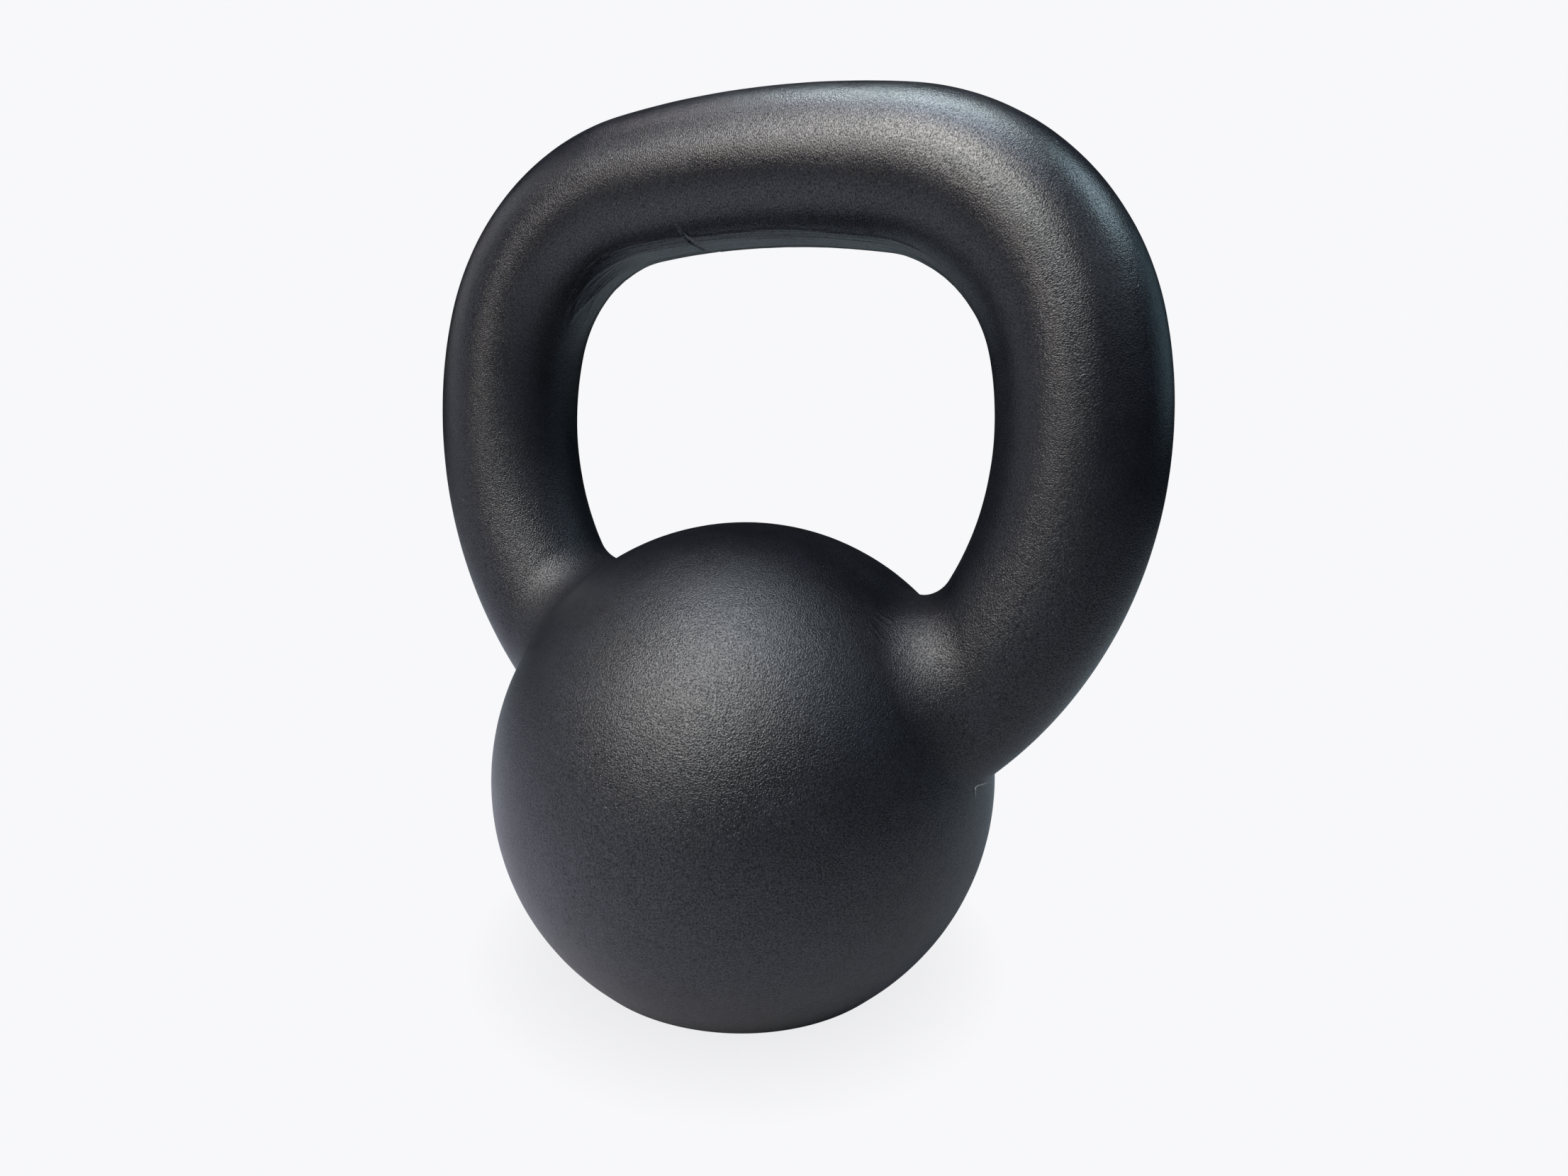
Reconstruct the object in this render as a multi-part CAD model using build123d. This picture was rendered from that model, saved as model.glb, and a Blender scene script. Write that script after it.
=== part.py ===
from build123d import *

import os
from math import cos, radians, sin

# A kettlebell: a ball with a flat base, a bent bar handle welded to it at two roots,
# and a trim pocket in the base that holds steel shot behind a wooden spacer and a pressed-in plug.
# Millimetres and degrees. +Z is up, +X runs along the bar, and the origin is the middle of the base.

# Ball
BALL_DIAMETER = 118.5
BALL_CENTRE_HEIGHT = 44.0
BASE_EDGE_RADIUS = 3.0

# Handle: its centreline runs from the middle of the bar down to the ball as three tangent arcs
BAR_RISE = 136.3  # from the ball's centre up to the bar's centreline
CROWN_RADIUS = 214.0
CROWN_TURN = 8.3
SHOULDER_RADIUS = 45.7
SHOULDER_TURN = 66.7
HORN_RADIUS = 80.9
HORN_TURN = 80.0  # runs on inside the ball, which trims it
BAR_DIAMETER = 32.0
ROOT_DIAMETER = 35.0
TAPER_LENGTH = 130.0  # from the end of the crown down to the ball's surface
SECTION_STEPS = (2, 8, 8)  # lofted sections along each arc

# Root welds: a concave fillet, largest on the two faces, smaller in the hand window, tight on the outside
WELD_RADIUS_IN_WINDOW = 9.0
WELD_RADIUS_AT_SIDES = 14.0
WELD_RADIUS_OUTSIDE = 3.0
WELD_STATIONS = 9  # sections over half of the ring
WELD_SINK = 0.05  # how far each toe reaches under the surface it joins
WELD_CORE_DEPTH = 3.0  # how far each section runs in past the corner it fills
CORNER_HALVINGS = 40  # steps that close in on where the bar's surface meets the ball
ROLLING_STEPS = 200  # steps that settle the fillet's rolling ball against both surfaces

# Trim pocket in the base, and what it holds
POCKET_DIAMETER = 34.0
POCKET_DEPTH = 61.0
PLUG_THICKNESS = 12.0
PLUG_RECESS = 0.6
PLUG_CHAMFER = 0.8
SPACER_LENGTH = 18.0
SPACER_CLEARANCE = 0.2
SPACER_CHAMFER = 0.6
SHOT_DIAMETER = 10.0
SHOT_GAP = 0.05
SHOT_LAYERS = 3
SHOT_IN_RING = 6

ball_radius = BALL_DIAMETER / 2
ball_centre = Vector(0, 0, BALL_CENTRE_HEIGHT)
handle_arcs = ((CROWN_RADIUS, CROWN_TURN), (SHOULDER_RADIUS, SHOULDER_TURN), (HORN_RADIUS, HORN_TURN))
crown_length = CROWN_RADIUS * radians(CROWN_TURN)
full_turn = CROWN_TURN + SHOULDER_TURN + HORN_TURN


def inward(turn):
    """Unit vector from the centreline towards the inside of the bend, where the bar has turned this far."""
    return Vector(-sin(radians(turn)), 0, -cos(radians(turn)))


def bar_station(turn):
    """Centreline point and bar radius where the handle's right half has turned this far down from level."""
    point = ball_centre + Vector(0, 0, BAR_RISE)
    turned = 0.0
    length = 0.0
    for radius, arc_turn in handle_arcs:
        step = min(turn - turned, arc_turn)
        if step <= 0:
            break
        centre = point + inward(turned) * radius
        turned += step
        point = centre - inward(turned) * radius
        length += radius * radians(step)
    taper = max(length - crown_length, 0) / TAPER_LENGTH
    return point, (BAR_DIAMETER + (ROOT_DIAMETER - BAR_DIAMETER) * taper) / 2


def section_turns():
    """Turns of the right half at which the handle has a lofted section, from the middle of the bar outwards."""
    turns = [0.0]
    for (_, arc_turn), steps in zip(handle_arcs, SECTION_STEPS):
        start = turns[-1]
        turns += [start + arc_turn * (k + 1) / steps for k in range(steps)]
    return turns


def bar_section(turn):
    """Round section of the bar; a negative turn is on the left half."""
    point, radius = bar_station(abs(turn))
    if turn < 0:
        point = Vector(-point.X, 0, point.Z)
    heading = Vector(cos(radians(turn)), 0, -sin(radians(turn)))
    return Plane(origin=point, x_dir=(0, 1, 0), z_dir=heading) * Circle(radius)


def bent_bar():
    """The handle's bar from end to end, with both ends still running on inside the ball."""
    right = section_turns()
    left = [-turn for turn in reversed(right[1:])]
    return loft([bar_section(turn) for turn in left + right])


def full_ball():
    """The ball before its base is cut."""
    return Pos(0, 0, BALL_CENTRE_HEIGHT) * Sphere(ball_radius)


def make_bell():
    """Ball with a flat base, a rounded base edge and the trim pocket."""
    above_base = Pos(0, 0, BALL_DIAMETER) * Box(BALL_DIAMETER, BALL_DIAMETER, 2 * BALL_DIAMETER)
    bell = full_ball() & above_base
    base_edge = bell.edges().filter_by(GeomType.CIRCLE).sort_by(Axis.Z)[0]
    bell = fillet(base_edge, BASE_EDGE_RADIUS)
    pocket = Cylinder(POCKET_DIAMETER / 2, POCKET_DEPTH, align=(Align.CENTER, Align.CENTER, Align.MIN))
    return bell - pocket


def make_handle():
    """Bent bar whose two ends are coped to sit on the ball."""
    return bent_bar() - full_ball()


def nearest_on_horn(point):
    """Nearest centreline point of the right horn, and the bar radius there."""
    bend_start = CROWN_TURN + SHOULDER_TURN
    start, _ = bar_station(bend_start)
    bend_centre = start + inward(bend_start) * HORN_RADIUS
    outward = Vector(point.X - bend_centre.X, 0, point.Z - bend_centre.Z)
    turn = Vector(0, 0, 1).get_signed_angle(outward, Vector(0, 1, 0))
    return bar_station(turn)


def corner_point(around):
    """Where the right horn's surface meets the ball at this angle round the bar, and the bar's normal there."""
    outside, inside = CROWN_TURN + SHOULDER_TURN, full_turn
    for _ in range(CORNER_HALVINGS):
        turn = (outside + inside) / 2
        centre, radius = bar_station(turn)
        normal = inward(turn) * cos(radians(around)) + Vector(0, sin(radians(around)), 0)
        point = centre + normal * radius
        if (point - ball_centre).length > ball_radius:
            outside = turn
        else:
            inside = turn
    return point, normal


def weld_radius(around):
    """Fillet radius at this angle round the bar, eased between the window, the two faces and the outside."""
    mean = (WELD_RADIUS_IN_WINDOW + 2 * WELD_RADIUS_AT_SIDES + WELD_RADIUS_OUTSIDE) / 4
    lean = (WELD_RADIUS_IN_WINDOW - WELD_RADIUS_OUTSIDE) / 2
    pinch = (WELD_RADIUS_IN_WINDOW + WELD_RADIUS_OUTSIDE - 2 * WELD_RADIUS_AT_SIDES) / 4
    return mean + lean * cos(radians(around)) + pinch * cos(radians(2 * around))


def weld_section(around):
    """Section of the weld at the right root: a rolling-ball fillet arc, closed by two lines inside the metal."""
    corner, bar_normal = corner_point(around)
    ball_normal = (corner - ball_centre).normalized()
    radius = weld_radius(around)
    # The rolling ball's centre, moved until it stands off both surfaces by its own radius
    rolling = corner
    for _ in range(ROLLING_STEPS):
        axis_point, bar_radius = nearest_on_horn(rolling)
        rolling += ball_normal * (ball_radius - WELD_SINK + radius - (rolling - ball_centre).length)
        rolling += bar_normal * (bar_radius - WELD_SINK + radius - (rolling - axis_point).length)
    toe_on_ball = rolling + (ball_centre - rolling).normalized() * radius
    toe_on_bar = rolling + (axis_point - rolling).normalized() * radius
    throat_way = ((toe_on_ball + toe_on_bar) / 2 - rolling).normalized()
    core = rolling + throat_way * ((corner - rolling).length + WELD_CORE_DEPTH)
    fillet_arc = ThreePointArc(toe_on_ball, rolling + throat_way * radius, toe_on_bar)
    return Wire([fillet_arc.edge(), Edge.make_line(toe_on_bar, core), Edge.make_line(core, toe_on_ball)])


def make_right_weld(ball, bar):
    """Fillet ring round the right root, in two mirrored halves, trimmed by the ball and the bar."""
    step = 180 / (WELD_STATIONS - 1)
    stations = [step * (k - 1) for k in range(WELD_STATIONS + 2)]
    band = Solid.make_loft([weld_section(around) for around in stations])
    back_half = Pos(0, BALL_DIAMETER / 2, 0) * Box(4 * BALL_DIAMETER, BALL_DIAMETER, 4 * BALL_DIAMETER)
    half = (band & back_half) - ball - bar
    return half + mirror(half, about=Plane.XZ)


def make_trim_shot():
    """Steel balls in flat layers of one in the middle and a ring round it."""
    pitch = SHOT_DIAMETER + SHOT_GAP
    lowest = PLUG_RECESS + PLUG_THICKNESS + SPACER_LENGTH + SHOT_GAP + SHOT_DIAMETER / 2
    places = [(0, 0)] + [
        (pitch * cos(radians(360 * k / SHOT_IN_RING)), pitch * sin(radians(360 * k / SHOT_IN_RING)))
        for k in range(SHOT_IN_RING)
    ]
    balls = [
        Pos(x, y, lowest + layer * pitch) * Sphere(SHOT_DIAMETER / 2)
        for layer in range(SHOT_LAYERS)
        for x, y in places
    ]
    return Compound(children=balls)


def make_pocket_spacer():
    """Turned wooden slug that fills the pocket under the shot and holds it still."""
    radius = POCKET_DIAMETER / 2 - SPACER_CLEARANCE
    slug = Cylinder(radius, SPACER_LENGTH, align=(Align.CENTER, Align.CENTER, Align.MIN))
    slug = chamfer(slug.edges().filter_by(GeomType.CIRCLE), SPACER_CHAMFER)
    return Pos(0, 0, PLUG_RECESS + PLUG_THICKNESS) * slug


def make_base_plug():
    """Steel disc pressed into the pocket's mouth, a little below the base face."""
    disc = Cylinder(POCKET_DIAMETER / 2, PLUG_THICKNESS, align=(Align.CENTER, Align.CENTER, Align.MIN))
    disc = chamfer(disc.edges().sort_by(Axis.Z)[0], PLUG_CHAMFER)
    return Pos(0, 0, PLUG_RECESS) * disc


def main():
    os.makedirs("parts", exist_ok=True)
    right_weld = make_right_weld(full_ball(), bent_bar())
    pieces = {
        "bell": make_bell(),
        "handle": make_handle(),
        "right_root_weld": right_weld,
        "left_root_weld": mirror(right_weld, about=Plane.YZ),
        "trim_shot": make_trim_shot(),
        "pocket_spacer": make_pocket_spacer(),
        "base_plug": make_base_plug(),
    }
    for node, shape in pieces.items():
        export_step(shape, f"parts/{node}.step")


main()
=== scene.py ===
from math import asin, cos, pi, radians, sin, sqrt

import bmesh
import bpy
import numpy as np
from mathutils import Matrix, Vector, noise


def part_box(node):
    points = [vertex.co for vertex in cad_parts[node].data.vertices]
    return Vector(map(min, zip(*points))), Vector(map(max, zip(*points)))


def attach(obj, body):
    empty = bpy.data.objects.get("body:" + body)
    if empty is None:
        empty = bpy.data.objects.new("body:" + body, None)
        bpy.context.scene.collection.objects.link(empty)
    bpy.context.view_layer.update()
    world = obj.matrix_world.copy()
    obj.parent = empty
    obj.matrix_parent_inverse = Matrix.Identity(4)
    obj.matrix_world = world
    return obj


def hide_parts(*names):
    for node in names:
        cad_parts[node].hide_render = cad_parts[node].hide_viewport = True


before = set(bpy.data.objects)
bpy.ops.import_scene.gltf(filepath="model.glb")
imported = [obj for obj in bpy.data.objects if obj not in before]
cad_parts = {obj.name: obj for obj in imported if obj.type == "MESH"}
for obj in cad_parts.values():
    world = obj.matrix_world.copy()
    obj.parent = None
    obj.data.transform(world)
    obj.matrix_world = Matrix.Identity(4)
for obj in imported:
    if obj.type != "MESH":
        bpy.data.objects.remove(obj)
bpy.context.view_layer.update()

# Kettlebell, in metres, in the frame's own axes: +Z up, +X along the bar, the photograph taken from -Y.

MM = 0.001

# Ball, read from the frame
bell_low, bell_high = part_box("bell")
BALL_RADIUS = (bell_high.x - bell_low.x) / 2
BALL_CENTRE = np.array((0, 0, bell_high.z - BALL_RADIUS))
BASE_EDGE_RADIUS = 3 * MM

# Handle centreline: three tangent arcs from the middle of the bar down to the ball
_, handle_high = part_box("handle")
BAR_RADIUS = 16 * MM
ROOT_RADIUS = 17.5 * MM
TAPER_LENGTH = 130 * MM
BAR_HEIGHT = handle_high.z - BAR_RADIUS
CROWN_RADIUS = 214 * MM
SHOULDER_RADIUS = 45.7 * MM
HORN_RADIUS = 80.9 * MM
CROWN_TURN = radians(8.3)
SHOULDER_TURN = radians(66.7)
HORN_TURN = radians(80)  # runs on inside the ball
CROWN_LENGTH = CROWN_RADIUS * CROWN_TURN
HORN_START = CROWN_LENGTH + SHOULDER_RADIUS * SHOULDER_TURN
ROOT_HALVINGS = 50  # steps that close in on where the bar's surface meets the ball

# Root weld fillets
WELD_RADIUS_IN_WINDOW = 9 * MM
WELD_RADIUS_AT_SIDES = 14 * MM
WELD_RADIUS_OUTSIDE = 3 * MM
WELD_CORE_DEPTH = 3 * MM
WELD_TOE_LENGTH = 5 * MM
WELD_TOE_SINK = 0.08 * MM
WELD_TOE_DROP = 0.7 * MM  # of the last row, so that its rim stays well under the skin
WELD_LIFT = 0.02 * MM  # over the skins that it joins
ROLLING_STEPS = 200  # steps that settle the fillet's rolling ball against both surfaces

# Pocket and plug
plug_low, plug_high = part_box("base_plug")
PLUG_RADIUS = (plug_high.x - plug_low.x) / 2
PLUG_CHAMFER = 0.8 * MM
POCKET_DEPTH = 61 * MM
POCKET_LIP = 0.5 * MM
TURNED_PITCH = 1.1 * MM  # of the rings that the lathe left on the plug's face
TURNED_DEPTH = 0.05 * MM
TURNED_STEPS = 6  # rows of points in each ring

# Cast skin: size and height of its waves, all of which lie below the plain shape
SKIN_WAVES = ((34 * MM, 0.10 * MM), (9 * MM, 0.05 * MM), (2.6 * MM, 0.022 * MM))
SKIN_LEAST_DEPTH = 0.03 * MM
SKIN_BASE_FADE = 3 * MM

# Underside of the bar, where the casting seam was ground off by hand: facets at these angles, to these depths
GROUND_FACETS = (
    (radians(-22), 0.11 * MM),
    (radians(-9), 0.18 * MM),
    (radians(5), 0.16 * MM),
    (radians(19), 0.10 * MM),
)
FACET_REACH = radians(60)  # to either side of a facet's middle
GROUND_WANDER = radians(4)
GROUND_WANDER_WAVE = 44 * MM
GROUND_WAVE = 22 * MM
GROUND_EVEN_LENGTH = 42 * MM
GROUND_FADE_LENGTH = 34 * MM
GROUND_SHOWS = 0.03 * MM  # removed depth at which the ground look is full
# A nick runs across the ground strip, and left of it the strip was ground deeper
NICK_PLACE = -14.6 * MM
NICK_SLANT = 0.055 * MM  # per degree round the bar
NICK_WANDER = 0.9 * MM
NICK_WAVE = 3.6 * MM
NICK_WIDTH = 0.5 * MM
NICK_DEPTH = 0.34 * MM
NICK_SPAN = radians(30)
NICK_STEP = 0.45  # share by which the strip is deeper left of it
NICK_ROWS_REACH = 5 * MM  # of the closer rows of points on either side of it
NICK_ROW_STEP = 0.22 * MM

# Right root: a few bead ripples on the upper front, and a short raised lip with a pit low on the outside
RIPPLES = np.array(
    (
        ((35.9, -13.7, 89.1), (38.9, -13.4, 87.5)),
        ((35.9, -15.5, 88.5), (38.8, -15.2, 86.6)),
        ((36.7, -18.1, 86.9), (39.1, -18.5, 84.6)),
        ((36.3, -19.5, 86.5), (38.9, -19.9, 84.0)),
    )
) * MM
RIPPLE_WIDTH = 0.4 * MM
RIPPLE_HEIGHT = 0.1 * MM
LIP_PATH = np.array(
    (
        (58.5, 3.2, 52.4),
        (58.7, 0, 52.2),
        (58.7, -3.2, 52.7),
        (58.5, -6.2, 53.6),
        (58.0, -8.6, 54.0),
        (57.9, -9.0, 52.9),
        (58.1, -8.9, 51.4),
    )
) * MM
LIP_STRENGTH = (0.1, 0.3, 0.5, 0.9, 1.0, 0.7, 0.1)  # at each point of its path
LIP_WIDTH = 0.4 * MM
LIP_HEIGHT = 0.22 * MM
# The lip's pale streak is partly coat worn bare and partly a painted highlight along its edge
LIP_WEAR_AND_HIGHLIGHT_WIDTH = 0.2 * MM
LIP_WEAR_AND_HIGHLIGHT_COLOUR = (0.72, 0.78, 0.75)
LIP_WEAR_AND_HIGHLIGHT_RANGE = (0.35, 0.6)  # of the grain, from pits that keep their coat to tops that are worn bare and carry the painted highlight
PIT_PLACE = np.array((57.8, -9.1, 53.6)) * MM
PIT_RADIUS = 0.4 * MM
PIT_DEPTH = 0.5 * MM

# Mesh density
BELL_SEGMENTS = 500
BELL_CAP_ANGLE = radians(54)
BELL_CAP_CELLS = BELL_SEGMENTS // 4  # along each side of the square grid that covers the ball's top
BELL_STEP = 0.7 * MM
BASE_STEP = 1.4 * MM
BAR_ROWS = 250
BAR_SEGMENTS = 168
BAR_CROWDING = 0.35  # how far its points are drawn towards the ground strip
WELD_SEGMENTS = 600
WELD_ARC_STEPS = 44
TOE_STEPS = 14
PLUG_SEGMENTS = 125
CAP_RINGS = 8
MERGE_DISTANCE = 1e-7  # between points that two patches share

# Photograph: 2212 x 1659 pixels, and the camera that its outline was fitted with
PHOTO_WIDTH = 2212
FOCAL_PIXELS = 1300.32
SENSOR_WIDTH = 36.0
VIEW_AZIMUTH = radians(26.565)
VIEW_ELEVATION = radians(21.309)
VIEW_DISTANCE = 228.84 * MM  # from the ball's centre, as the target is
VIEW_TARGET = Vector((8.374 * MM, 0, 44.913 * MM))
VIEW_ROLL = radians(2.226)
CLIP_START = 10 * MM

# Materials: a NOISE value is a noise's detail and roughness, and a RANGE value is the part of it that counts
NOISE_RANGE = (0.3, 0.7)

# Coat: its grain and mottling, and how they change from the ball up to the bar
GRAIN_SIZE = 0.32 * MM
BAR_GRAIN_SIZE = (0.24 * MM, 0.38 * MM, 0.38 * MM)  # along the bar, and across it both ways
STRAIGHT_MARK = "straight_bar"  # place along and across the bar, as if it were straight
GRAIN_NOISE = (1.5, 0.55)
GRAIN_HEIGHT_BALL = 0.17 * MM
GRAIN_HEIGHT_BAR = 0.09 * MM
BALL_LOOK_TOP = 100 * MM
BAR_LOOK_START = 150 * MM
PEBBLE_SIZE = 2.4 * MM
PEBBLE_NOISE = (1.0, 0.5)
PEBBLE_HEIGHT = 0.05 * MM
MOTTLE_SIZE = 6 * MM
MOTTLE_NOISE = (3.0, 0.6)
CLOUD_SIZE = 18 * MM
CLOUD_NOISE = (2.0, 0.5)
CLOUD_RANGE = (0.25, 0.75)
COAT_DARK = (0.0026, 0.0029, 0.0048)
COAT_LIGHT = (0.0050, 0.0055, 0.0088)
GLINT = 0.5  # specular level, which is higher on the grain's tops and lower in its pits
GLINT_SWING_BALL = 0.33
GLINT_SWING_BAR = 0.34
ROUGHNESS_BALL = 0.36
ROUGHNESS_BAR = 0.29
ROUGHNESS_SWING = 0.04  # either way, in clouds
WELD_ROUGHENING = 0.1  # in the middle of a weld, fading out towards its toes
WELD_MARK = "weld_bead"  # how near the weld's middle a point is, and how much of the lip's worn streak and painted highlight it has
SPECK_SPACING = 9 * MM
SPECK_EDGE_OUT = 0.026  # both edges as shares of the spacing
SPECK_EDGE_IN = 0.012
SPECK_SHARE = 0.25  # share of places that get a speck
SPECK_COLOUR = (0.12, 0.12, 0.12)

# Base face, where the coat is scuffed through to the iron
SCUFF_TOP = 0.3 * MM
SCUFF_SIZE = 8 * MM
SCUFF_NOISE = (5.0, 0.65)
SCUFF_RANGE = (0.42, 0.62)
SCUFF_COLOUR = (0.075, 0.072, 0.07)
SCUFF_ROUGHENING = 0.12

# Steel shot and wooden spacer inside the pocket
STEEL_DARK = (0.34, 0.34, 0.35)
STEEL_LIGHT = (0.60, 0.60, 0.61)
STEEL_ROUGHNESS = (0.28, 0.46)
STEEL_STAIN_SIZE = 2.5 * MM
STEEL_STAIN_NOISE = (4.0, 0.6)
STEEL_PIT_SIZE = 0.3 * MM
STEEL_PIT_NOISE = (2.0, 0.5)
STEEL_PIT_DEPTH = 0.02 * MM
WOOD_DARK = (0.30, 0.17, 0.08)
WOOD_LIGHT = (0.58, 0.40, 0.23)
WOOD_ROUGHNESS = (0.55, 0.72)
WOOD_FIBRE = (1.1 * MM, 1.1 * MM, 16 * MM)
WOOD_FIBRE_NOISE = (4.0, 0.6)
WOOD_FIBRE_HEIGHT = 0.06 * MM

# Ground strip under the bar
GROUND_MARK = "ground_strip"  # along the bar, round the bar, and how much of the ground look shows
STREAK_LENGTH = 16 * MM
STREAK_WIDTH = 0.7 * MM
STREAK_NOISE = (3.0, 0.6)
STREAK_HEIGHT = 0.16 * MM
GROUND_SMOOTHING = 0.8  # share of the cast grain that grinding took off

# Floor, surroundings and lights
FLOOR_SIZE = 6
# Floor paper tones, seen only by the coat: painted light, lighter to the left and behind, and painted shade,
# darker to the right and far off
FLOOR_PAINTED_LIGHT_LEFT = (0.48, 0.48, 0.55)
FLOOR_PAINTED_LIGHT_RIGHT = (0.31, 0.31, 0.335)
FLOOR_PAINTED_LIGHT_BEHIND = (0.40, 0.45, 0.48)
FLOOR_PAINTED_SHADE_FAR_FRONT = (0.26, 0.26, 0.28)
FLOOR_PAINTED_SHADE_FAR_RIGHT = (0.10, 0.10, 0.11)
# Places along X and Y between which its painted light and shade tones fade into each other
FLOOR_LEFT_EDGE = -50 * MM
FLOOR_RIGHT_EDGE = 80 * MM
FLOOR_FRONT_EDGE = 30 * MM
FLOOR_BEHIND_EDGE = 150 * MM
FLOOR_FAR_START = 150 * MM
FLOOR_FAR_END = 400 * MM
BACKGROUND_TONE = (0.939, 0.939, 0.956)
# Painted contact shadow: the floor's even tone darkens to this where the kettlebell is near
PAINTED_CONTACT_SHADOW_TONE = (0.80, 0.80, 0.82)
CONTACT_REACH = 20 * MM
CONTACT_SAMPLES = 8
STUDIO_TONE = (0.004, 0.004, 0.005)
LIGHT_AIM = Vector((0, 0, 0.1))
LIGHT_DISTANCE = 0.6
# Name, azimuth from the -Y side and elevation in degrees, width, height, radiance and colour
LIGHTS = (
    ("front_box", -2, 33, 0.5, 0.2, 4.6, (0.95, 1.01, 1.02)),
    ("front_left_box", -20, 26, 0.18, 0.32, 6.2, (1.1, 0.99, 0.9)),
    ("upper_box", 0, 52, 0.3, 0.26, 12.4, (1.03, 1, 0.93)),
    ("upper_left_box", -32, 46, 0.3, 0.26, 2.4, (1, 1, 1.1)),
    ("crest_box", 12, 73, 0.32, 0.15, 5.8, (0.9, 0.99, 1.25)),
    ("top_box", 180, 85, 0.36, 0.22, 8.3, (0.88, 1.03, 1.09)),
    ("top_left_box", -75, 68, 0.3, 0.25, 2.1, (1.05, 0.98, 1.01)),
    ("left_box", -80, 25, 0.35, 0.35, 0.7, (1, 1, 1.03)),
    ("left_low_box", -60, 2, 0.45, 0.14, 0.88, (0.96, 1.0, 1.14)),
    ("right_box", 68, 38, 0.5, 0.3, 0.62, (0.85, 1.02, 1.13)),
    ("back_right_box", 112, 50, 0.2, 0.2, 4.6, (0.78, 1.04, 1.18)),
    ("back_right_low_box", 130, 20, 0.4, 0.3, 0.28, (0.67, 1.04, 1.29)),
)


def smoothstep(values):
    """Eases 0..1 values in and out, and clips them."""
    t = np.clip(values, 0, 1)
    return t * t * (3 - 2 * t)


# The bent bar

def handle_arcs():
    """(first turn, radius, centre x, centre z, length before it) for each arc of the right half."""
    arcs = []
    x, z, turn, length = 0.0, BAR_HEIGHT, 0.0, 0.0
    for radius, arc_turn in (
        (CROWN_RADIUS, CROWN_TURN),
        (SHOULDER_RADIUS, SHOULDER_TURN),
        (HORN_RADIUS, HORN_TURN),
    ):
        centre_x = x - radius * sin(turn)
        centre_z = z - radius * cos(turn)
        arcs.append((turn, radius, centre_x, centre_z, length))
        turn += arc_turn
        length += radius * arc_turn
        x = centre_x + radius * sin(turn)
        z = centre_z + radius * cos(turn)
    return arcs


ARCS = handle_arcs()


def station(length):
    """Centreline x and z, turn and plain radius at these distances from the middle of the bar, right half."""
    length = np.asarray(length, float)
    x, z, turn = np.zeros_like(length), np.zeros_like(length), np.zeros_like(length)
    for first, radius, centre_x, centre_z, before in ARCS:
        here = length >= before
        angle = first + (length - before) / radius
        x = np.where(here, centre_x + radius * np.sin(angle), x)
        z = np.where(here, centre_z + radius * np.cos(angle), z)
        turn = np.where(here, angle, turn)
    taper = np.maximum(length - CROWN_LENGTH, 0) / TAPER_LENGTH
    return x, z, turn, BAR_RADIUS + (ROOT_RADIUS - BAR_RADIUS) * taper


def bar_points(length, around, radius=None):
    """Points on the bar's right half, this far along it and at these angles round it; 0 faces the window."""
    x, z, turn, plain = station(length)
    radius = plain if radius is None else radius
    return np.stack(
        [
            x - radius * np.cos(around) * np.sin(turn),
            radius * np.sin(around) + np.zeros_like(x),
            z - radius * np.cos(around) * np.cos(turn),
        ],
        axis=-1,
    )


def root_length(around, ball_radius):
    """Distance along the bar, at these angles round it, where its surface meets a ball of that radius."""
    outside = np.full_like(around, HORN_START)
    inside = np.full_like(around, HORN_START + HORN_RADIUS * HORN_TURN)
    for _ in range(ROOT_HALVINGS):
        middle = (outside + inside) / 2
        away = np.linalg.norm(bar_points(middle, around) - BALL_CENTRE, axis=-1) > ball_radius
        outside = np.where(away, middle, outside)
        inside = np.where(away, inside, middle)
    return outside


# Meshes

def patch(points, wrap_rows=False, wrap_columns=False):
    """(points, quads) of a grid of points."""
    rows, columns = points.shape[:2]
    index = np.arange(rows * columns).reshape(rows, columns)
    if wrap_rows:
        index = np.vstack([index, index[:1]])
    if wrap_columns:
        index = np.hstack([index, index[:, :1]])
    quads = np.stack([index[:-1, :-1], index[:-1, 1:], index[1:, 1:], index[1:, :-1]], axis=-1)
    return points.reshape(-1, 3), quads.reshape(-1, 4)


def closed_object(name, patches, marks=None):
    """One closed smooth mesh object from patches that share their edges, with marks on its points."""
    points, quads, count = [], [], 0
    for patch_points, patch_quads in patches:
        points.append(patch_points)
        quads.append(patch_quads + count)
        count += len(patch_points)
    mesh = bpy.data.meshes.new(name)
    mesh.from_pydata(np.concatenate(points).tolist(), [], np.concatenate(quads).tolist())
    for mark, values in (marks or {}).items():
        mesh.attributes.new(mark, "FLOAT_VECTOR", "POINT").data.foreach_set("vector", values.ravel())
    work = bmesh.new()
    work.from_mesh(mesh)
    bmesh.ops.remove_doubles(work, verts=work.verts, dist=MERGE_DISTANCE)
    bmesh.ops.recalc_face_normals(work, faces=work.faces)
    work.to_mesh(mesh)
    work.free()
    mesh.shade_smooth()
    piece = bpy.data.objects.new(name, mesh)
    bpy.context.scene.collection.objects.link(piece)
    return piece


def waves(points, size):
    """Smooth noise, about -1 to 1, with features of this size."""
    values = [noise.noise(point) for point in (points / size).reshape(-1, 3).tolist()]
    return np.array(values).reshape(points.shape[:-1])


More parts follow.
